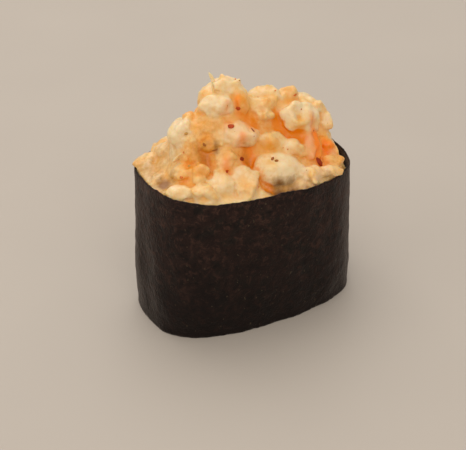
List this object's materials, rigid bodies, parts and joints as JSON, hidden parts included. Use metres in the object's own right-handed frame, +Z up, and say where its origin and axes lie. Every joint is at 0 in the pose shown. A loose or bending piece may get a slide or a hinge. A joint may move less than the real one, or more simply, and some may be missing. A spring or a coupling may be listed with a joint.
{
  "type": "gunkan sushi",
  "caption": "Oval of pressed rice in a strip of nori, heaped high with chopped seafood in a creamy orange chilli sauce.",
  "frame": {"origin": "centre of the footprint, on the surface that the strip stands on", "axes": "+Z up, +X along the oval towards its lower end, -Y towards the front, with the strip's overlap at the back on the +Y side"},
  "size_m": [0.0499, 0.0306, 0.0556],
  "materials": {
    "nori": "dry matt dark sheet with fine fibres",
    "rice": "moist cooked grains",
    "topping": "moist chunks coated in creamy sauce, with red chilli flecks"
  },
  "bodies": {
    "root": {"nori": "nori", "rice": "rice", "topping": "topping"}
  },
  "joints": []
}
